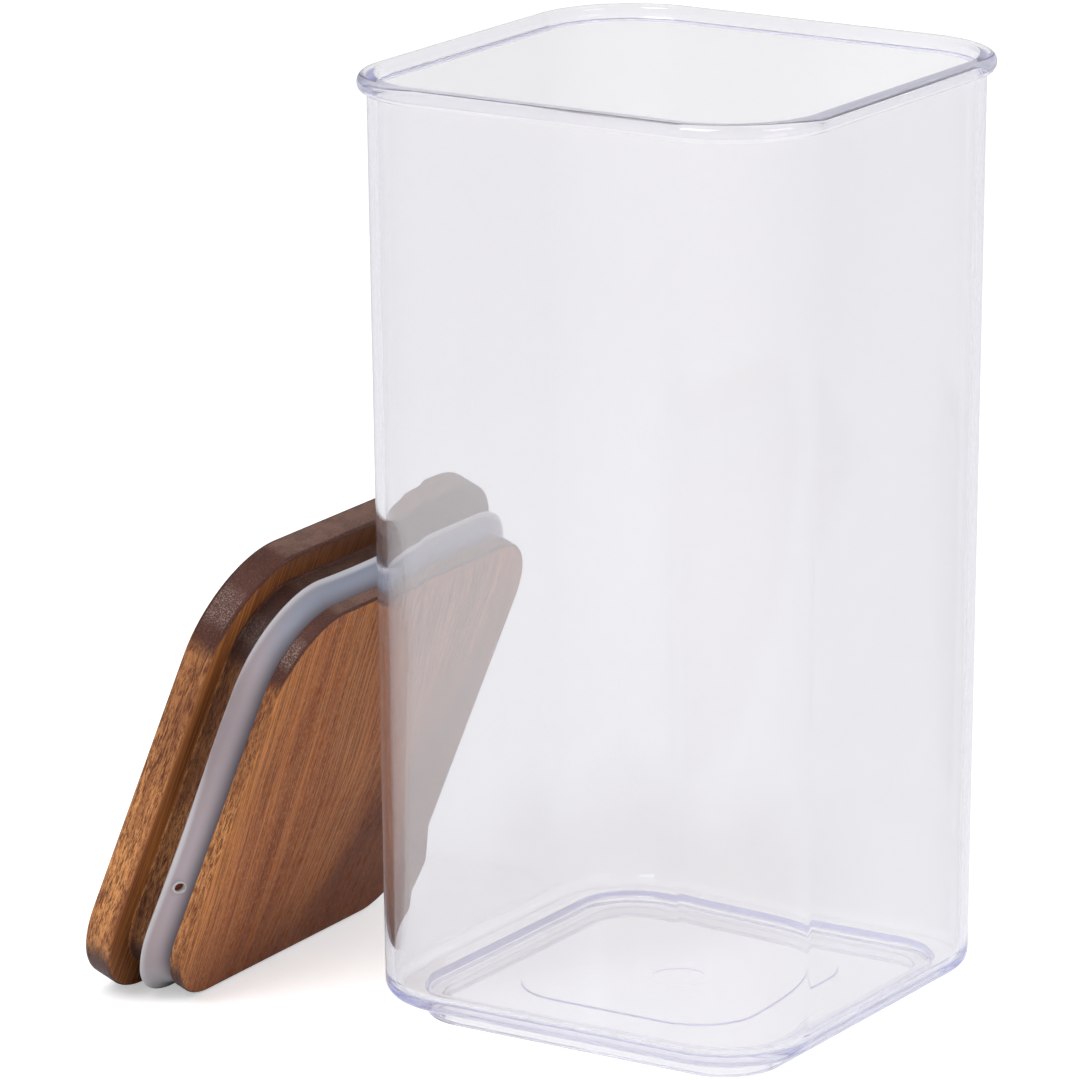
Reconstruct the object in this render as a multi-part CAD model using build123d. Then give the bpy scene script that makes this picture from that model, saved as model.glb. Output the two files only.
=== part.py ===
from build123d import *
import os
from math import atan, cos, degrees, radians, sin

# A square storage jar of clear plastic. Its wooden lid is off, and leans on the jar's -X wall from outside.
# The origin is the middle of the foot's underside, +Z is up, and the walls face along X and Y.

# The jar's wall: a square with rounded corners, narrowing on each side by wall_taper from rim to base
jar_width = 100.0
jar_height = 193.0
jar_corner_radius = 20.8
wall = 2.0
wall_taper = 1.9

# The bead that stands out round the rim, and the small round on the rim's inner edge
bead_out = 1.9
bead_height = 3.4
bead_edge_radius = 1.5
mouth_edge_radius = 0.8

# The base: a rounded edge under the wall, a ledge inside, and a pan that steps down into a smaller foot
base_edge_radius = 3.3
ledge_thickness = 2.2
ledge_edge_radius = 2.6
foot_inset = 7.7
foot_height = 4.2
foot_corner_radius = 12.5
foot_edge_radius = 0.8
foot_ring_width = 3.7
pan_inset = 0.8
pan_corner_radius = 11.5
pan_depth = 1.9
pan_edge_radius = 1.4
floor_thickness = 2.0

# The raised square in the middle of the floor, and the gate mark under it
panel_inset = 13.2
panel_corner_radius = 13.3
panel_height = 0.3
gate_mark_diameter = 10.6
gate_mark_depth = 0.3

# The wooden lid: a plate that lies on the rim, and a plug that goes into the mouth
lid_inset = 0.1
lid_corner_fullness = 1.2
plate_thickness = 6.5
plate_edge_radius = 0.8
plug_clearance = 2.2
plug_edge_radius = 0.6

# Down the plug: a plain neck, the groove for the seal, and the flange that holds the seal in
neck_height = 4.4
groove_height = 6.0
groove_depth = 3.0
flange_thickness = 3.2

# The silicone seal: a root that fills the groove, and a lip that flares up and out towards the plate
seal_fit = 0.05
root_recess = 0.7
lip_squeeze = 1.15
lip_rise = 4.6
lip_thickness = 0.85
lip_edge_slope = 37.0
lip_heel = 1.9
lip_hollow = 0.45
lip_belly = 0.9
vent_diameter = 2.2
vent_collar_diameter = 3.8
vent_collar_height = 0.25
vent_cut_length = 3.4
vent_place = -18.5

# Where the lid stands when it is off: on its edge on the table, leaning on the wall
lid_lean = 67.8
lid_turn = 2.0
lid_offset = -18.6
lean_gap = 0.3
lean_pushes = 6

# A round takes at most this share of the thickness that it is on, and edges this close are at one height
most_round = 0.45
same_height = 0.001

on_its_base = (Align.CENTER, Align.CENTER, Align.MIN)

# Sizes that follow from those above
draft = degrees(atan(wall_taper / (jar_height - foot_height)))
bead_width = jar_width + 2 * bead_out
bead_corner_radius = jar_corner_radius + bead_out
ledge_level = foot_height + ledge_thickness
pan_level = ledge_level - pan_depth
relief_level = pan_level - floor_thickness
foot_width = jar_width - 2 * wall_taper - 2 * foot_inset
pan_width = foot_width - 2 * pan_inset
panel_width = pan_width - 2 * panel_inset
mouth_width = jar_width - 2 * wall
mouth_corner_radius = jar_corner_radius - wall
lid_width = bead_width - 2 * lid_inset
lid_corner_radius = bead_corner_radius - lid_inset - lid_corner_fullness
plug_width = mouth_width - 2 * plug_clearance
plug_corner_radius = mouth_corner_radius - plug_clearance
groove_bottom = neck_height + groove_height
plug_depth = groove_bottom + flange_thickness
lip_width = mouth_width + 2 * lip_squeeze


def rounded_block(width, corner_radius, bottom, top, taper=0.0):
    """A square block with rounded corners; with a taper it narrows downwards from its top."""
    outline = Plane.XY.offset(top) * RectangleRounded(width, width, corner_radius)
    return extrude(outline, amount=top - bottom, dir=(0, 0, -1), taper=taper)


def edges_at(shape, height):
    """The edges that lie at one height."""
    return shape.edges().filter_by_position(Axis.Z, height - same_height, height + same_height)


def square_ring(profile, corner_centre):
    """A profile on the XZ plane, carried round a square: straight sides joined by quarter turns."""
    side_start = Pos(0, corner_centre, 0) * profile
    side = extrude(side_start, amount=2 * corner_centre, dir=(0, -1, 0))
    corner_axis = Axis((corner_centre, corner_centre, 0), (0, 0, 1))
    corner = revolve(side_start, corner_axis, 90)
    quarter = side + corner
    ring = quarter
    for turn in (90, 180, 270):
        ring += Rot(0, 0, turn) * quarter
    return ring


def make_jar_body():
    """One moulding: drafted wall, rim bead, ledge and pan inside, and the foot's ring below."""
    shell = rounded_block(jar_width, jar_corner_radius, foot_height, jar_height, draft)
    shell = fillet(edges_at(shell, foot_height), base_edge_radius)

    bead_bottom = jar_height - bead_height
    bead = rounded_block(bead_width, bead_corner_radius, bead_bottom, jar_height)
    bead_round = min(bead_edge_radius, most_round * bead_height)
    bead = fillet(edges_at(bead, jar_height) + edges_at(bead, bead_bottom), bead_round)

    foot = rounded_block(foot_width, foot_corner_radius, 0, ledge_level)
    foot = fillet(edges_at(foot, 0), min(foot_edge_radius, most_round * foot_ring_width))

    cavity = rounded_block(mouth_width, mouth_corner_radius, ledge_level, jar_height, draft)
    cavity = fillet(edges_at(cavity, ledge_level), ledge_edge_radius)
    pan = rounded_block(pan_width, pan_corner_radius, pan_level, ledge_level)
    pan = fillet(edges_at(pan, pan_level), min(pan_edge_radius, 2 * most_round * pan_depth))

    jar = shell + bead + foot - cavity - pan
    mouth = jar.faces().sort_by(Axis.Z)[-1].inner_wires()[0]
    jar = fillet(mouth.edges(), min(mouth_edge_radius, most_round * wall))

    jar += rounded_block(panel_width, panel_corner_radius, pan_level, pan_level + panel_height)
    relief_width = foot_width - 2 * foot_ring_width
    relief_corner_radius = foot_corner_radius - foot_ring_width
    jar -= rounded_block(relief_width, relief_corner_radius, 0, relief_level)
    gate_mark = Cylinder(gate_mark_diameter / 2, gate_mark_depth, align=on_its_base)
    jar -= Pos(0, 0, relief_level) * gate_mark
    return jar


def make_wooden_lid():
    """One piece of wood, upright with the plate's underside at height 0 and the plug below it."""
    plate = rounded_block(lid_width, lid_corner_radius, 0, plate_thickness)
    plate_round = min(plate_edge_radius, most_round * plate_thickness)
    plate = fillet(edges_at(plate, 0) + edges_at(plate, plate_thickness), plate_round)
    plug = rounded_block(plug_width, plug_corner_radius, -plug_depth, 0)
    plug = fillet(edges_at(plug, -plug_depth), min(plug_edge_radius, most_round * flange_thickness))
    ring = rounded_block(plug_width, plug_corner_radius, -groove_bottom, -neck_height)
    core_width = plug_width - 2 * groove_depth
    core_corner_radius = plug_corner_radius - groove_depth
    ring -= rounded_block(core_width, core_corner_radius, -groove_bottom, -neck_height)
    return plate + plug - ring


def make_seal():
    """The ring in the lid's groove, in the same place as the upright lid."""
    root_inner = plug_width / 2 - groove_depth + seal_fit
    root_outer = plug_width / 2 - root_recess
    root_top = -neck_height - seal_fit
    root_bottom = -groove_bottom + seal_fit
    heel = (root_outer, root_bottom + lip_heel)
    lip_base = (root_outer, root_bottom)
    lip_tip = (lip_width / 2, root_bottom + lip_rise)
    lip_back = (
        lip_tip[0] - lip_thickness * cos(radians(lip_edge_slope)),
        lip_tip[1] + lip_thickness * sin(radians(lip_edge_slope)),
    )
    root = Polyline(
        lip_base,
        (root_inner, root_bottom),
        (root_inner, root_top),
        (root_outer, root_top),
        heel,
    )
    lip_inside = SagittaArc(heel, lip_back, lip_hollow)
    lip_edge = Line(lip_back, lip_tip)
    lip_outside = SagittaArc(lip_tip, lip_base, -lip_belly)
    profile = Plane.XZ * make_face(root + lip_inside + lip_edge + lip_outside)
    ring = square_ring(profile, plug_width / 2 - plug_corner_radius)

    # A vent through the lip on the -Y side, in a low collar that is sunk into the lip's belly
    lip_middle = lip_outside @ 0.5
    lip_slope = degrees(atan((lip_tip[0] - lip_base[0]) / (lip_tip[1] - lip_base[1])))
    vent_pose = Pos(vent_place, -lip_middle.X, lip_middle.Y) * Rot(90 + lip_slope, 0, 0)
    collar_sunk = lip_thickness / 2
    collar = Cylinder(vent_collar_diameter / 2, collar_sunk + vent_collar_height, align=on_its_base)
    collar = Pos(0, 0, -collar_sunk) * collar
    vent = Cylinder(vent_diameter / 2, vent_cut_length)
    return ring + vent_pose * collar - vent_pose * vent


def leaning_place(lid, jar):
    """Where the lid stands on the table with its top edge just off the jar's wall."""
    tilt = Rot(0, 0, lid_turn) * Rot(0, -lid_lean, 0)
    lift = -(tilt * lid).bounding_box().min.Z
    place = Pos(-jar_width - lid_width, lid_offset, lift) * tilt
    for _ in range(lean_pushes):
        gap = jar.distance_to(place * lid)
        place = Pos(gap - lean_gap, 0, 0) * place
    return place


jar_body = make_jar_body()
wooden_lid = make_wooden_lid()
silicone_seal = make_seal()
off_place = leaning_place(wooden_lid + silicone_seal, jar_body)
print("lid place when off", off_place)
print("jar to lid", jar_body.distance_to(off_place * wooden_lid))

os.makedirs("parts", exist_ok=True)
export_step(jar_body, "parts/jar_body.step")
export_step(off_place * wooden_lid, "parts/wooden_lid.step")
export_step(off_place * silicone_seal, "parts/silicone_seal.step")
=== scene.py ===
from math import copysign, cos, exp, hypot, radians, sin

import bmesh
import bpy
from mathutils import Euler, Matrix, Vector


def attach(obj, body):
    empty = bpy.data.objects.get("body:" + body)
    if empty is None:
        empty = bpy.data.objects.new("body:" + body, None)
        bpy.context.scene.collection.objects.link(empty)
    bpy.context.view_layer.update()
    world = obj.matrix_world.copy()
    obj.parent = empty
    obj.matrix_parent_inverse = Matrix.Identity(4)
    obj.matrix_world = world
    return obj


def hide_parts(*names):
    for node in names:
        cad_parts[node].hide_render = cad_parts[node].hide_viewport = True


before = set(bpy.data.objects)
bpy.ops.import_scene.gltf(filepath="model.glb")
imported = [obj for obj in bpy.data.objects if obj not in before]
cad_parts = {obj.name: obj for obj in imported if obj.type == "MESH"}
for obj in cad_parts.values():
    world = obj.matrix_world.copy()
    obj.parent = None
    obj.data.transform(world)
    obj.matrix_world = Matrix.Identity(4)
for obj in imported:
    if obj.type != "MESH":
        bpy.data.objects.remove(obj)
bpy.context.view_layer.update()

mm = 0.001
scene = bpy.context.scene
scene.view_settings.view_transform = "Standard"

# Light passes many faces of the clear plastic before it comes out again
scene.cycles.max_bounces = 24
scene.cycles.glossy_bounces = 16
scene.cycles.transmission_bounces = 24

# The camera stands on the right of the jar's front corner and looks down on the rim.
# Its lens is long and it stands far off, so the jar's walls stay almost parallel.
# Blender gives a lens and its sensor in millimetres.
view_azimuth = radians(32.657)
view_height = radians(15.086)
view_roll = radians(-0.292)
view_distance = 1412.943 * mm
view_centre = Vector((-23.30, -14.93, 95.96)) * mm
view_lens = 235.82
view_sensor = 36
view_starts = 0.05
view_ends = 20

level_reach = cos(view_height)
look_back = Vector((sin(view_azimuth) * level_reach, -cos(view_azimuth) * level_reach, sin(view_height)))
look_right = Vector((cos(view_azimuth), sin(view_azimuth), 0))
look_up = look_back.cross(look_right)
rolled_right = look_right * cos(view_roll) + look_up * sin(view_roll)
rolled_up = look_up * cos(view_roll) - look_right * sin(view_roll)
camera_data = bpy.data.cameras.new("camera")
camera_data.sensor_width = view_sensor
camera_data.lens = view_lens
camera_data.clip_start = view_starts
camera_data.clip_end = view_ends
camera = bpy.data.objects.new("camera", camera_data)
scene.collection.objects.link(camera)
camera_turn = Matrix((rolled_right, rolled_up, look_back)).transposed().to_4x4()
camera.matrix_world = Matrix.Translation(view_centre + look_back * view_distance) @ camera_turn
scene.camera = camera

# The room: plain soft light from all round, darker on the side where the lid leans, so that the plastic's
# edge shows there. What is seen straight, or through the plastic, is the white backdrop.
room_strength = 0.68
room_shade = 0.63
room_colour = (0.97, 0.98, 1, 1)
dark_side = (-1, 0.1, 0)
white = (1, 1, 1, 1)


class Shade:
    """A value or colour in a material. Arithmetic on it adds the material's Math nodes."""

    def __init__(self, finish, socket):
        self.finish = finish
        self.socket = socket

    def maths(self, operation, *values):
        return self.finish.add("ShaderNodeMath", {"operation": operation}, dict(enumerate(values)))

    def __add__(self, other):
        return self.maths("ADD", self, other)

    def __radd__(self, other):
        return self.maths("ADD", other, self)

    def __sub__(self, other):
        return self.maths("SUBTRACT", self, other)

    def __rsub__(self, other):
        return self.maths("SUBTRACT", other, self)

    def __mul__(self, other):
        return self.maths("MULTIPLY", self, other)

    def __rmul__(self, other):
        return self.maths("MULTIPLY", other, self)

    def __abs__(self):
        return self.maths("ABSOLUTE", self)


class Finish:
    """A material or a world whose nodes are added one at a time."""

    def __init__(self, owner):
        self.owner = owner
        owner.use_nodes = True
        self.tree = owner.node_tree
        self.tree.nodes.clear()

    def add(self, kind, settings=None, inputs=None, output=0):
        node = self.tree.nodes.new(kind)
        for name, value in (settings or {}).items():
            setattr(node, name, value)
        for key, value in (inputs or {}).items():
            socket = node.inputs[key]
            if isinstance(value, Shade):
                self.tree.links.new(value.socket, socket)
            else:
                socket.default_value = value
        return Shade(self, node.outputs[output]) if len(node.outputs) else None


def rise(value, start, end):
    """A share that goes smoothly from 0 to 1 as a value goes from a start to an end."""
    return value.finish.add("ShaderNodeMapRange", {"interpolation_type": "SMOOTHSTEP"}, {
        "Value": value, "From Min": start, "From Max": end,
    })


room = Finish(bpy.data.worlds.new("room"))
scene.world = room.owner
camera_ray = room.add("ShaderNodeLightPath", output="Is Camera Ray")
through_ray = room.add("ShaderNodeLightPath", output="Is Transmission Ray")
sees_backdrop = camera_ray.maths("MAXIMUM", camera_ray, through_ray)
room_way = room.add("ShaderNodeTexCoord", output="Generated")
to_dark_side = room.add("ShaderNodeVectorMath", {"operation": "DOT_PRODUCT"}, {
    0: room_way, 1: dark_side,
}, "Value")
room_light = room.add("ShaderNodeBackground", None, {
    "Color": room_colour, "Strength": room_strength - rise(to_dark_side, 0.70, 0.92) * room_shade,
})
backdrop = room.add("ShaderNodeBackground", None, {"Color": white, "Strength": 1})
room_mix = room.add("ShaderNodeMixShader", None, {0: sees_backdrop, 1: room_light, 2: backdrop})
room.add("ShaderNodeOutputWorld", None, {"Surface": room_mix})

# The lamps: a strong one above and in front, and a weaker one on the right.
# Both are broad, so that the shadows have soft edges.
lamp_aim = Vector((-0.05, 0, 0.08))
lamp_size = 0.8


def add_lamp(name, place, power):
    """A soft square lamp that faces the object."""
    lamp_data = bpy.data.lights.new(name, "AREA")
    lamp_data.size = lamp_size
    lamp_data.energy = power
    lamp = bpy.data.objects.new(name, lamp_data)
    scene.collection.objects.link(lamp)
    facing = (Vector(place) - lamp_aim).to_track_quat("Z", "Y")
    lamp.matrix_world = Matrix.LocRotScale(Vector(place), facing, None)


add_lamp("key_lamp", place=(-0.11, -1.10, 1.25), power=13)
add_lamp("right_lamp", place=(1.5, -0.2, 0.9), power=6)

# The floor: one pale sheet under everything, seen as white and keeping the soft shadows.
# Through the plastic it is plain white, as the backdrop is.
floor_radius = 3
floor_glow = 0.42
floor_paper = (0.88, 0.88, 0.88, 1)
bpy.ops.object.select_all(action="DESELECT")
bpy.ops.mesh.primitive_circle_add(vertices=64, radius=floor_radius, fill_type="NGON", location=(0, 0, 0))
floor = bpy.context.active_object
floor.name = "floor"
sheet = Finish(bpy.data.materials.new("floor_sheet"))
sheet_camera = sheet.add("ShaderNodeLightPath", output="Is Camera Ray")
sheet_through = sheet.add("ShaderNodeLightPath", output="Is Transmission Ray")
sheet_glow = sheet.add("ShaderNodeEmission", None, {"Color": white, "Strength": sheet_camera * floor_glow})
sheet_white = sheet.add("ShaderNodeEmission", None, {"Color": white, "Strength": 1})
sheet_paper = sheet.add("ShaderNodeBsdfDiffuse", None, {"Color": floor_paper})
sheet_sum = sheet.add("ShaderNodeAddShader", None, {0: sheet_paper, 1: sheet_glow})
sheet_mix = sheet.add("ShaderNodeMixShader", None, {0: sheet_through, 1: sheet_sum, 2: sheet_white})
sheet.add("ShaderNodeOutputMaterial", None, {"Surface": sheet_mix})
floor.data.materials.append(sheet.owner)

# The jar body: one injection moulding of clear plastic with a slight violet cast.
# A drafted square wall with a rolled bead round the rim, a ledge and pan inside, and a narrower hollow foot.
jar_width = 100.0 * mm
jar_height = 193.0 * mm
jar_corner = 20.8 * mm
wall = 2.0 * mm
wall_taper = 1.9 * mm
bead_out = 1.9 * mm
bead_height = 3.4 * mm
foot_height = 4.2 * mm
ledge_level = 6.4 * mm
pan_level = 4.5 * mm
panel_level = 4.8 * mm
relief_level = 2.5 * mm
foot_width = 80.8 * mm
foot_corner = 12.5 * mm
ring_width = 3.7 * mm
pan_width = 79.2 * mm
pan_corner = 11.5 * mm
panel_width = 52.8 * mm
panel_corner = 13.3 * mm
mark_radius = 5.3 * mm
mark_level = 2.8 * mm
corner_steps = 36
same_place = 0.005 * mm
bridge_drop = 1.3 * mm


def start_piece(name):
    """Opens an empty mesh object in edit mode, at the origin."""
    bpy.ops.object.select_all(action="DESELECT")
    bpy.ops.mesh.primitive_plane_add(size=1, location=(0, 0, 0))
    piece = bpy.context.active_object
    piece.name = name
    bpy.ops.object.mode_set(mode="EDIT")
    bpy.ops.mesh.delete(type="VERT")
    return piece


def add_outline(width, corner, height):
    """In edit mode, adds the edge of a square with rounded corners."""
    bpy.ops.mesh.select_all(action="DESELECT")
    bpy.ops.mesh.primitive_plane_add(size=width, location=(0, 0, height))
    bpy.ops.mesh.bevel(
        offset=corner, segments=corner_steps, profile=0.5, affect="VERTICES", clamp_overlap=False,
    )
    bpy.ops.mesh.delete(type="ONLY_FACE")


def lies_on(point, outline):
    """True where a point is on a square outline with rounded corners."""
    width, corner, height = outline
    across = abs(point.x) - (width / 2 - corner)
    along = abs(point.y) - (width / 2 - corner)
    outside = hypot(max(across, 0), max(along, 0)) + min(max(across, along), 0) - corner
    return abs(outside) < same_place and abs(point.z - height) < same_place


def pick_outlines(piece, *outlines):
    """In edit mode, selects the edges that lie on any of some outlines."""
    bpy.ops.mesh.select_all(action="DESELECT")
    bpy.ops.mesh.select_mode(type="EDGE")
    mesh = bmesh.from_edit_mesh(piece.data)
    for edge in mesh.edges:
        for outline in outlines:
            if lies_on(edge.verts[0].co, outline) and lies_on(edge.verts[1].co, outline):
                edge.select_set(True)
    bmesh.update_edit_mesh(piece.data)


def lower_outline(piece, outline, drop):
    """Moves an outline straight down, and gives it at its new height."""
    pick_outlines(piece, outline)
    bpy.ops.transform.translate(value=(0, 0, -drop))
    return outline[0], outline[1], outline[2] - drop


def bridge_outlines(piece, outlines, closed=False):
    """Adds outlines and walls from each one to the next; a closed set also joins the last to the first."""
    for outline in outlines:
        add_outline(*outline)
    pairs = list(zip(outlines, outlines[1:]))
    if closed:
        pairs.append((outlines[-1], outlines[0]))
    for first, second in pairs:
        # Two outlines at one height would be joined crosswise, so one is lowered meanwhile
        drop = bridge_drop if abs(first[2] - second[2]) < same_place else 0
        lowered = lower_outline(piece, second, drop)
        pick_outlines(piece, first, lowered)
        bpy.ops.mesh.bridge_edge_loops()
        lower_outline(piece, lowered, -drop)


def round_outline(piece, outline, radius, steps):
    """Rounds the edge that follows an outline."""
    pick_outlines(piece, outline)
    bpy.ops.mesh.bevel(offset=radius, segments=steps, profile=0.5, affect="EDGES", clamp_overlap=False)


def fill_outline(piece, outline):
    """Closes an outline with one flat face."""
    pick_outlines(piece, outline)
    bpy.ops.mesh.edge_face_add()


def finish_mesh(piece, smooth_angle=40):
    """Turns the faces outwards and shades them smooth, with flat faces kept flat."""
    bpy.ops.mesh.select_all(action="SELECT")
    bpy.ops.mesh.normals_make_consistent(inside=False)
    bpy.ops.object.mode_set(mode="OBJECT")
    bpy.ops.object.select_all(action="DESELECT")
    piece.select_set(True)
    bpy.context.view_layer.objects.active = piece
    bpy.ops.object.shade_smooth_by_angle(angle=radians(smooth_angle))
    bpy.ops.object.modifier_add(type="WEIGHTED_NORMAL")
    piece.modifiers[-1].keep_sharp = True
    bpy.ops.object.modifier_apply(modifier=piece.modifiers[-1].name)


def wall_at(height):
    """How much narrower the wall is on each side at a height than at the rim."""
    return wall_taper * (jar_height - height) / (jar_height - foot_height)


jar = start_piece("clear_jar")
mark_top = (2 * mark_radius, mark_radius - same_place, mark_level)
mark_foot = (2 * mark_radius, mark_radius - same_place, relief_level)
relief_top = (foot_width - 2 * ring_width, foot_corner - ring_width, relief_level)
relief_foot = (foot_width - 2 * ring_width, foot_corner - ring_width, 0)
foot_edge = (foot_width, foot_corner, 0)
foot_top = (foot_width, foot_corner, foot_height)
wall_base = (jar_width - 2 * wall_taper, jar_corner - wall_taper, foot_height)
bead_bottom = jar_height - bead_height
under_bead = (jar_width - 2 * wall_at(bead_bottom), jar_corner - wall_at(bead_bottom), bead_bottom)
bead_under = (jar_width + 2 * bead_out, jar_corner + bead_out, bead_bottom)
bead_top = (jar_width + 2 * bead_out, jar_corner + bead_out, jar_height)
mouth = (jar_width - 2 * wall, jar_corner - wall, jar_height)
inner_in = wall + wall_at(ledge_level)
inner_base = (jar_width - 2 * inner_in, jar_corner - inner_in, ledge_level)
pan_top = (pan_width, pan_corner, ledge_level)
pan_base = (pan_width, pan_corner, pan_level)
panel_base = (panel_width, panel_corner, pan_level)
panel_top = (panel_width, panel_corner, panel_level)
bridge_outlines(jar, [
    mark_top, mark_foot, relief_top, relief_foot, foot_edge, foot_top, wall_base, under_bead, bead_under,
    bead_top, mouth, inner_base, pan_top, pan_base, panel_base, panel_top,
])
fill_outline(jar, panel_top)
fill_outline(jar, mark_top)
round_outline(jar, wall_base, radius=3.3 * mm, steps=8)
round_outline(jar, bead_under, radius=1.5 * mm, steps=6)
round_outline(jar, bead_top, radius=1.5 * mm, steps=6)
round_outline(jar, mouth, radius=0.8 * mm, steps=5)
round_outline(jar, under_bead, radius=0.4 * mm, steps=3)
round_outline(jar, inner_base, radius=2.6 * mm, steps=8)
round_outline(jar, pan_top, radius=0.35 * mm, steps=3)
round_outline(jar, pan_base, radius=1.4 * mm, steps=5)
round_outline(jar, foot_edge, radius=0.8 * mm, steps=4)
round_outline(jar, foot_top, radius=0.4 * mm, steps=3)
round_outline(jar, relief_foot, radius=0.3 * mm, steps=3)
round_outline(jar, relief_top, radius=0.5 * mm, steps=3)
round_outline(jar, panel_base, radius=0.12 * mm, steps=2)
round_outline(jar, panel_top, radius=0.12 * mm, steps=2)
finish_mesh(jar, smooth_angle=60)


def part_of(vector, letter):
    """One of a vector's three numbers."""
    return vector.finish.add("ShaderNodeSeparateXYZ", None, {0: vector}, output=letter)


def mix_tones(share, first, second):
    """A colour between two, by a share from 0 to 1."""
    return share.finish.add("ShaderNodeMix", {"data_type": "RGBA"}, {0: share, 6: first, 7: second}, output=2)


def stretched_noise(place, lumps, detail=2.0, roughness=0.5):
    """Noise on a piece, with so many lumps to the metre along each of its sides."""
    stretched = place.finish.add("ShaderNodeMapping", None, {"Vector": place, "Scale": lumps})
    return place.finish.add("ShaderNodeTexNoise", None, {
        "Vector": stretched, "Scale": 1, "Detail": detail, "Roughness": roughness,
    })


# The plastic has a faint milky veil where a wall is seen flat on, and a little painted shade where a corner
# is seen edge on. Light that runs on inside the rim and the foot comes out violet.
flat_veil = 0.12
veil_ripple = 0.03
guided_veil = 0.35
shade_ripple = 20 * mm
high_darkening = 0.43
veil_grey = (0.70, 0.66, 0.64, 1)
foot_violet = (0.77, 0.78, 0.97, 1)
rim_violet = (0.88, 0.885, 0.98, 1)
wall_tint = (0.97, 0.975, 0.985, 1)
# The corner tint is painted shade, for corners seen edge on
corner_shade_tint = (0.91, 0.915, 0.93, 1)
# The smoky tint is the colour of the painted shadow low on the wall beside the lid
shaded_tint = (0.868, 0.860, 0.863, 1)
depth_tint = (0.45, 0.48, 0.88, 1)

clear = Finish(bpy.data.materials.new("clear_plastic"))
glance = clear.add("ShaderNodeLayerWeight", None, {"Blend": 0.5}, "Facing")
inside = clear.add("ShaderNodeNewGeometry", output="Backfacing")
jar_way = clear.add("ShaderNodeNewGeometry", output="Normal")
on_jar = clear.add("ShaderNodeTexCoord", output="Object")
over_middle = part_of(on_jar, "Z") - jar_height / 2
foot_to_rim = over_middle * 10 + 0.5
flow = stretched_noise(on_jar, (55, 55, 5))
at_corner = rise(abs(part_of(jar_way, "X") * part_of(jar_way, "Y")), 0.10, 0.24)
edge_on = at_corner * rise(glance, 0.40, 0.50)
guided = rise(glance, 0.29, 0.42) * inside * rise(abs(over_middle), 78 * mm, 86 * mm)
veil_outside = (1 - edge_on) * (flat_veil + (flow - 0.5) * veil_ripple)
veil_inside = rise(glance, 0.30, 0.22) * flat_veil + guided * guided_veil
veil_share = veil_outside * (1 - inside) + veil_inside * inside
veil_colour = mix_tones(guided, veil_grey, mix_tones(foot_to_rim, foot_violet, rim_violet))

# Painted shadow: the wall beside the lid, and the back wall near it, are a little darker low down, standing
# in for the floor's shadow seen through the plastic, and less so high up
low_down = rise(over_middle + (flow - 0.5) * shade_ripple, -56.5 * mm, -82.5 * mm)
high_up = rise(over_middle, -20 * mm, 40 * mm)
beside_lid = rise(part_of(on_jar, "Y") * 0.5 - part_of(on_jar, "X"), 0, 30 * mm)
painted_shade = (low_down + high_up * high_darkening) * beside_lid
clear_tint = mix_tones(painted_shade, mix_tones(edge_on, wall_tint, corner_shade_tint), shaded_tint)

clear_skin = clear.add("ShaderNodeBsdfPrincipled", None, {
    "Base Color": clear_tint, "Roughness": 0.02, "IOR": 1.5, "Transmission Weight": 1,
})
clear_veil = clear.add("ShaderNodeBsdfPrincipled", None, {
    "Base Color": veil_colour, "Roughness": 1, "Specular IOR Level": 0,
})
clear_mix = clear.add("ShaderNodeMixShader", None, {0: veil_share, 1: clear_skin, 2: clear_veil})
clear_depth = clear.add("ShaderNodeVolumeAbsorption", None, {"Color": depth_tint, "Density": 20})
clear.add("ShaderNodeOutputMaterial", None, {"Surface": clear_mix, "Volume": clear_depth})
jar.data.materials.append(clear.owner)

# Clear plastic throws next to no shadow
jar.visible_shadow = False
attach(jar, "jar")
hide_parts("jar_body")

# The wooden lid: one board of oiled acacia, cut to a plate that lies on the rim and a plug below it.
# A groove is cut round the plug for the seal. Off the jar, the lid stands on one edge and leans on the wall.
lid_width = 103.6 * mm
lid_corner = 21.4 * mm
plate_thickness = 6.5 * mm
plug_width = 91.6 * mm
plug_corner = 16.6 * mm
plug_depth = 13.6 * mm
groove_top = 4.4 * mm
groove_bottom = 10.4 * mm
groove_depth = 3.0 * mm
lid_place = Vector((-79.325, -18.6, 47.717)) * mm
lid_turn = Euler((0, radians(-67.8), radians(2.0)))


def lean_on_jar(piece):
    """Puts a piece of the lid where the lid leans on the jar; its place goes into its mesh."""
    bpy.ops.object.select_all(action="DESELECT")
    piece.select_set(True)
    bpy.context.view_layer.objects.active = piece
    piece.location = lid_place
    piece.rotation_euler = lid_turn
    bpy.ops.object.transform_apply(location=True, rotation=True, scale=True)


lid = start_piece("acacia_lid")
plate_top = (lid_width, lid_corner, plate_thickness)
plate_under = (lid_width, lid_corner, 0)
plug_top = (plug_width, plug_corner, 0)
neck_end = (plug_width, plug_corner, -groove_top)
core_top = (plug_width - 2 * groove_depth, plug_corner - groove_depth, -groove_top)
core_bottom = (plug_width - 2 * groove_depth, plug_corner - groove_depth, -groove_bottom)
flange_top = (plug_width, plug_corner, -groove_bottom)
flange_base = (plug_width, plug_corner, -plug_depth)
bridge_outlines(lid, [
    plate_top, plate_under, plug_top, neck_end, core_top, core_bottom, flange_top, flange_base,
])
fill_outline(lid, plate_top)
fill_outline(lid, flange_base)
round_outline(lid, plate_top, radius=0.9 * mm, steps=4)
round_outline(lid, plate_under, radius=0.8 * mm, steps=4)
round_outline(lid, plug_top, radius=0.4 * mm, steps=3)
round_outline(lid, neck_end, radius=0.3 * mm, steps=2)
round_outline(lid, flange_top, radius=0.3 * mm, steps=2)
round_outline(lid, flange_base, radius=0.6 * mm, steps=4)
finish_mesh(lid)
lean_on_jar(lid)


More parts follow.
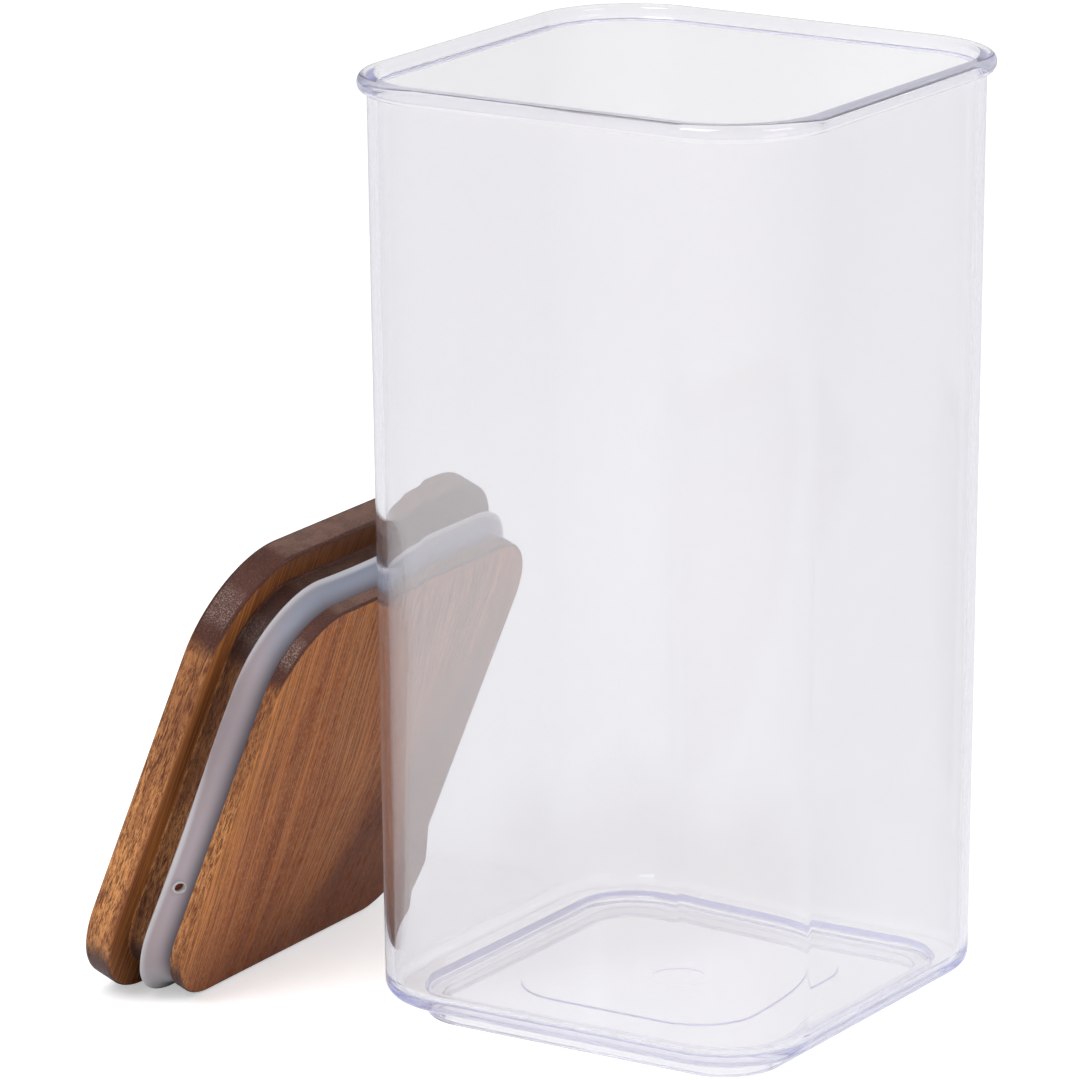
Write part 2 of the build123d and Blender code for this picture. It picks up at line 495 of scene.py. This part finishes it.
def place_on_lid(finish):
    """Where a point is on the upright lid."""
    return finish.add("ShaderNodeMapping", {"vector_type": "TEXTURE"}, {
        "Vector": finish.add("ShaderNodeTexCoord", output="Object"),
        "Location": lid_place,
        "Rotation": lid_turn,
    })


def way_on_lid(finish):
    """Which way the surface faces, on the upright lid."""
    return finish.add("ShaderNodeMapping", {"vector_type": "TEXTURE"}, {
        "Vector": finish.add("ShaderNodeNewGeometry", output="Normal"), "Rotation": lid_turn,
    })


def tone(red, green, blue):
    """A colour written as it looks on a screen, from 0 to 255, made linear."""
    return tuple(((part / 255 + 0.055) / 1.055) ** 2.4 for part in (red, green, blue)) + (1,)


wood = Finish(bpy.data.materials.new("oiled_acacia"))
board = place_on_lid(wood)
along = part_of(board, "X")
across = part_of(board, "Y")
depth = part_of(board, "Z")
board_way = way_on_lid(wood)
end_way = part_of(board_way, "X")
side_way = part_of(board_way, "Y")

# The fibres run nearly straight up the lean, and fan out a little towards the lower far corner
grain_slope = 0.13
fan_slope = 0.2
figure_slope = 0.12
wander = stretched_noise(board, (16, 22, 30), detail=1) - 0.5
fan = rise(across - along * 0.5, -12 * mm, 25 * mm)
grain = wood.add("ShaderNodeCombineXYZ", None, {
    "X": along,
    "Y": across + along * (grain_slope - fan * fan_slope) + wander * (4 * mm),
    "Z": depth + wander * (3 * mm),
})
figure_place = wood.add("ShaderNodeCombineXYZ", None, {
    "X": along, "Y": across - along * figure_slope, "Z": depth,
})
fine_lines = stretched_noise(grain, (26, 1900, 1900), detail=3, roughness=0.65)
streaks = stretched_noise(grain, (9, 330, 330), detail=3, roughness=0.6)
figure = stretched_noise(figure_place, (13, 42, 60))
fleck = stretched_noise(grain, (900, 3200, 3200), roughness=0.6)
mottle = stretched_noise(board, (420, 900, 3000), detail=4, roughness=0.8)
clouding = stretched_noise(board, (55, 200, 330), detail=3, roughness=0.6)
sparkle = stretched_noise(board, (3200, 4200, 4200), detail=1)
pore_place = wood.add("ShaderNodeMapping", None, {"Vector": board, "Scale": (260, 600, 3000)})
pore_centre = wood.add("ShaderNodeTexVoronoi", {"feature": "F1"}, {"Vector": pore_place, "Scale": 1})
pore_rows = rise(stretched_noise(board, (50, 50, 260)), 0.36, 0.58)
pores = (1 - rise(pore_centre, 0.24, 0.46)) * pore_rows

# Flat faces are red-brown with a dark band and a pale patch, tan near the -Y edge, and dark brown towards
# the lower far corner, partly the wood's figure and partly painted shade
shade_line = along * 0.75 - across * 0.55 + (figure - 0.5) * (30 * mm)
dark_end_and_shade = 1 - rise(shade_line, -34 * mm, 6 * mm)
tan_edge = 1 - rise(across + (streaks - 0.5) * (10 * mm), -46 * mm, -34 * mm)
dark_band = 1 - rise(abs(along - across + 39 * mm + (figure - 0.5) * (12 * mm)), 1 * mm, 10 * mm)
pale_patch = 1 - rise(abs(across + along * 0.4 + 3 * mm + (streaks - 0.5) * (6 * mm)), 2 * mm, 9 * mm)
pale_patch = pale_patch * rise(along, -12 * mm, 6 * mm)
face = mix_tones(rise(streaks, 0.32, 0.68), tone(142, 76, 38), tone(186, 114, 64))
face = mix_tones(rise(figure, 0.50, 0.72) * 0.5, face, tone(196, 130, 78))
face = mix_tones(tan_edge * 0.8, face, tone(198, 128, 66))
face = mix_tones(pale_patch * 0.45, face, tone(206, 140, 86))
face = mix_tones(dark_end_and_shade * 0.8, face, tone(86, 42, 20))
face = mix_tones(dark_band * 0.45, face, tone(92, 48, 34))
face = mix_tones(rise(fine_lines, 0.42, 0.58) * 0.68, face, tone(84, 36, 16))
face = mix_tones(rise(fleck, 0.50, 0.62) * (0.38 - dark_end_and_shade * 0.25), face, tone(210, 142, 84))

# The ledge round the plug was cut in the board's golden heart, and has painted shade at its upper end
ledge_depth = rise(depth, -4 * mm, -0.5 * mm)
ledge_lines = stretched_noise(board, (18, 1500, 1500), detail=3, roughness=0.6)
ledge = mix_tones(rise(ledge_lines, 0.36, 0.64), tone(98, 50, 22), tone(158, 98, 48))
ledge_end_shade = rise(along + across * 0.25, 32 * mm, 50 * mm) * (1 - rise(depth, 0.8 * mm, 1.6 * mm))
ledge = mix_tones(ledge_end_shade * 0.75, ledge, tone(40, 22, 16))
face = mix_tones(ledge_depth * 0.9, face, ledge)

# The edges that run with the grain are golden, with short dark pores and a glittering mottle
side = mix_tones(rise(mottle, 0.38, 0.60), tone(110, 56, 28), tone(202, 138, 82))
side = mix_tones(rise(fleck, 0.50, 0.62) * 0.35, side, tone(226, 168, 108))
side = mix_tones(rise(clouding, 0.44, 0.64) * 0.5, side, tone(112, 56, 28))
side = mix_tones(pores * 0.8, side, tone(72, 30, 22))
# Painted shade: the sides are darker towards the upper end and on the flange below the seal
side_shade = rise(along, -4 * mm, 18 * mm) * 0.42 + rise(depth, -10 * mm, -11 * mm) * 0.16
side = mix_tones(side_shade, side, tone(92, 46, 24))
side_share = rise(abs(side_way), 0.55, 0.85)

# End grain is dark brown, greyer on the flat ends, partly its own colour and partly painted sheen, with
# painted silvery glints and a painted silvery highlight at the upper corner
highlight_up = 0.574
highlight_out = 0.819
glint_silver = tone(156, 134, 124)
end = mix_tones(rise(abs(end_way), 0.975, 1), tone(72, 34, 22), tone(106, 74, 60))
end = mix_tones(rise(clouding, 0.40, 0.62) * 0.45, end, tone(56, 27, 17))
# Painted highlight on the upper corner
corner_highlight = rise(end_way * highlight_up - side_way * highlight_out, 0.968, 0.997)
end = mix_tones(corner_highlight * (0.06 + rise(sparkle, 0.46, 0.66) * 0.42), end, glint_silver)
# Painted silvery glints over the end grain
end = mix_tones(rise(sparkle, 0.52, 0.68) * 0.12, end, glint_silver)
upper_end = rise(end_way + (clouding - 0.5) * 0.15, 0, 0.26)
lower_end = rise(end_way * -1, 0.25, 0.6)
end_share = upper_end.maths("MAXIMUM", upper_end, lower_end)

# Painted shade: the plug is darker round the neck above the seal and in the groove
neck_shade = rise(depth, -0.2 * mm, -0.9 * mm) * rise(depth, -10.8 * mm, -10.2 * mm)
wood_colour = mix_tones(end_share, mix_tones(side_share, face, side), end)
wood_colour = mix_tones(neck_shade * 0.5, wood_colour, tone(40, 18, 10))
wood_gloss = 0.56 + (mottle - 0.5) * 0.2 + pores * 0.2 - end_share * (0.04 + sparkle * 0.16)
wood_relief = wood.add("ShaderNodeBump", None, {
    "Height": fine_lines * 0.5 - pores * (0.25 + side_share * 0.75) + sparkle * end_share * 1.6,
    "Strength": 0.4, "Distance": 0.3 * mm,
})
wood_skin = wood.add("ShaderNodeBsdfPrincipled", None, {
    "Base Color": wood_colour, "Roughness": wood_gloss, "Normal": wood_relief, "Specular IOR Level": 0.28,
})
wood.add("ShaderNodeOutputMaterial", None, {"Surface": wood_skin})
lid.data.materials.append(wood.owner)
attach(lid, "lid")
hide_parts("wooden_lid")

# The silicone seal: one moulded ring, pressed into the lid's groove.
# Its thin lip flares up and out, and has one small vent with a raised rim on the -Y side.
seal_fit = 0.05 * mm
root_recess = 0.7 * mm
lip_heel = 1.9 * mm
lip_tip = Vector((49.15, -5.75)) * mm
lip_back = Vector((48.47, -5.24)) * mm
lip_hollow = 0.45 * mm
lip_sweep = 0.9 * mm
wave_drop = 0.3
wave_power = 1.5
vent_place = Vector((-18.5, -46.3, -7.65)) * mm
vent_deep = Vector((-18.5, -45.75, -6.45)) * mm
corner_centre = plug_width / 2 - plug_corner
root_inner = plug_width / 2 - groove_depth + seal_fit
root_outer = plug_width / 2 - root_recess
root_top = -groove_top - seal_fit
root_bottom = -groove_bottom + seal_fit
heel_height = root_bottom + lip_heel
cut_count = 13


def bowed_points(start, end, bow, steps):
    """Points on a shallow arc from start to end, bowed to the left of that way by an amount."""
    points = []
    way = end - start
    side = Vector((-way.y, way.x)).normalized()
    for step in range(steps + 1):
        share = step / steps
        points.append(start + way * share + side * bow * 4 * share * (1 - share))
    return points


def swell(point, x, y, spread, amount):
    """How far the soft lip stands out near a place on the upright lid; all in millimetres."""
    away = hypot(point.x / mm - x, point.y / mm - y)
    return amount * mm * exp(-((away / spread) ** 2))


seal = start_piece("seal_ring")
seal_profile = [
    Vector((root_inner, root_bottom)),
    Vector((root_inner, root_top)),
    Vector((root_outer, root_top)),
]
seal_profile += bowed_points(Vector((root_outer, heel_height)), lip_back, bow=lip_hollow, steps=6)
seal_profile += bowed_points(lip_tip, Vector((root_outer, root_bottom)), bow=-lip_sweep, steps=8)
bridge_outlines(seal, [(2 * spot.x, spot.x - corner_centre, spot.y) for spot in seal_profile], closed=True)

# Cuts across the straight sides give the soft lip points to wave at
for cut in range(cut_count):
    cut_place = corner_centre * (2 * (cut + 1) / (cut_count + 1) - 1)
    for way in ((1, 0, 0), (0, 1, 0)):
        bpy.ops.mesh.select_all(action="SELECT")
        bpy.ops.mesh.bisect(plane_co=Vector(way) * cut_place, plane_no=way)

# Worn lip: it bulges and draws in along the -Y side, and hangs in along the top
lip_mesh = bmesh.from_edit_mesh(seal.data)
for point in lip_mesh.verts:
    reach = Vector((max(abs(point.co.x) - corner_centre, 0), max(abs(point.co.y) - corner_centre, 0)))
    lip_share = (corner_centre + reach.length - root_outer) / (lip_tip.x - root_outer)
    if lip_share > 0:
        wave = swell(point.co, x=21, y=-49, spread=14, amount=2.3)
        wave += swell(point.co, x=-11, y=-49, spread=11, amount=-0.7)
        wave += swell(point.co, x=-40, y=-46, spread=9, amount=0.5)
        wave += swell(point.co, x=49, y=-14, spread=16, amount=-1.0)
        outward = Vector((copysign(reach.x, point.co.x), copysign(reach.y, point.co.y), 0)).normalized()
        point.co += (outward * wave + Vector((0, 0, -wave_drop * wave))) * lip_share ** wave_power
bmesh.update_edit_mesh(seal.data)
finish_mesh(seal, smooth_angle=50)


def cut_vent(piece, name, place, tilt, radius, low, high, operation):
    """Adds a round plug to the lip, or cuts one from it, turned about X by a tilt in degrees."""
    bpy.ops.object.select_all(action="DESELECT")
    bpy.ops.mesh.primitive_cylinder_add(vertices=40, radius=radius, depth=high - low, location=(0, 0, 0))
    plug = bpy.context.active_object
    plug.name = name
    turned = Matrix.Translation(place) @ Matrix.Rotation(radians(tilt), 4, "X")
    plug.matrix_world = turned @ Matrix.Translation((0, 0, (low + high) / 2))
    bpy.ops.object.transform_apply(location=True, rotation=True, scale=True)
    if operation == "UNION":
        bpy.ops.object.mode_set(mode="EDIT")
        bpy.ops.mesh.select_all(action="SELECT")
        bpy.ops.mesh.bevel(offset=0.1 * mm, segments=3, affect="EDGES")
        bpy.ops.object.mode_set(mode="OBJECT")
    bpy.ops.object.select_all(action="DESELECT")
    piece.select_set(True)
    bpy.context.view_layer.objects.active = piece
    bpy.ops.object.modifier_add(type="BOOLEAN")
    piece.modifiers[-1].operation = operation
    piece.modifiers[-1].solver = "EXACT"
    piece.modifiers[-1].object = plug
    bpy.ops.object.modifier_apply(modifier=piece.modifiers[-1].name)
    bpy.data.objects.remove(plug)


cut_vent(
    seal, "vent_rim", vent_place, tilt=142, radius=1.5 * mm, low=-1.2 * mm, high=0.22 * mm,
    operation="UNION",
)
cut_vent(
    seal, "vent_hole", vent_place, tilt=165, radius=1.05 * mm, low=-1.8 * mm, high=1.8 * mm,
    operation="DIFFERENCE",
)
lean_on_jar(seal)


def close_to(place, spot, inner, outer):
    """A share that is 1 within an inner distance of a spot and 0 past an outer one."""
    away = place.finish.add("ShaderNodeVectorMath", {"operation": "DISTANCE"}, {0: place, 1: spot}, "Value")
    return 1 - rise(away, inner, outer)


# The silicone has a painted reflection, greyer, where it faces up, painted shade in the fold of the lip, and
# painted light along the lip's thin edge. It is pale at the foot of the lean and on the vent's rim. At the
# bottom of the vent the silicone is painted red-brown, standing in for the shaded wood seen through the hole.
silicone = Finish(bpy.data.materials.new("seal_silicone"))
on_seal = place_on_lid(silicone)
lip_depth = part_of(on_seal, "Z")
faces_up = part_of(silicone.add("ShaderNodeNewGeometry", output="Normal"), "Z")
clouds = stretched_noise(on_seal, (90, 90, 90), detail=3, roughness=0.6)
# Painted reflection: greyer where the silicone faces up
up_reflection_share = rise(faces_up + (clouds - 0.5) * 0.3, -0.25, 0.45)
# Painted shade in the fold of the lip, next to the flange
fold_shade = 1 - rise(lip_depth, -10.4 * mm, -7.0 * mm)
# Painted light along the lip's thin edge
edge_glow = rise(lip_depth, -6.4 * mm, -5.8 * mm)
foot_share = 1 - rise(part_of(on_seal, "X"), -49 * mm, -36 * mm)
silicone_colour = mix_tones(up_reflection_share, tone(168, 156, 161), tone(138, 142, 156))
silicone_colour = mix_tones(fold_shade, silicone_colour, tone(86, 79, 86))
silicone_colour = mix_tones(edge_glow * 0.7, silicone_colour, tone(212, 214, 217))
vent_ring = close_to(on_seal, vent_place, 1.35 * mm, 1.55 * mm)
silicone_colour = mix_tones(vent_ring * 0.5, silicone_colour, tone(208, 206, 198))
silicone_colour = mix_tones(foot_share, silicone_colour, tone(176, 178, 182))
# Painted red-brown on the silicone, standing in for the shaded wood seen through the vent
painted_wood_in_vent = close_to(on_seal, vent_deep, 1.3 * mm, 1.6 * mm)
silicone_colour = mix_tones(painted_wood_in_vent, silicone_colour, tone(120, 56, 36))
silicone_skin = silicone.add("ShaderNodeBsdfPrincipled", None, {
    "Base Color": silicone_colour, "Roughness": 0.38 + (clouds - 0.5) * 0.15, "IOR": 1.41,
    "Subsurface Weight": 0.25, "Subsurface Radius": (0.6, 0.5, 0.5), "Subsurface Scale": 2 * mm,
})
silicone.add("ShaderNodeOutputMaterial", None, {"Surface": silicone_skin})
seal.data.materials.append(silicone.owner)
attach(seal, "lid")
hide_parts("silicone_seal")
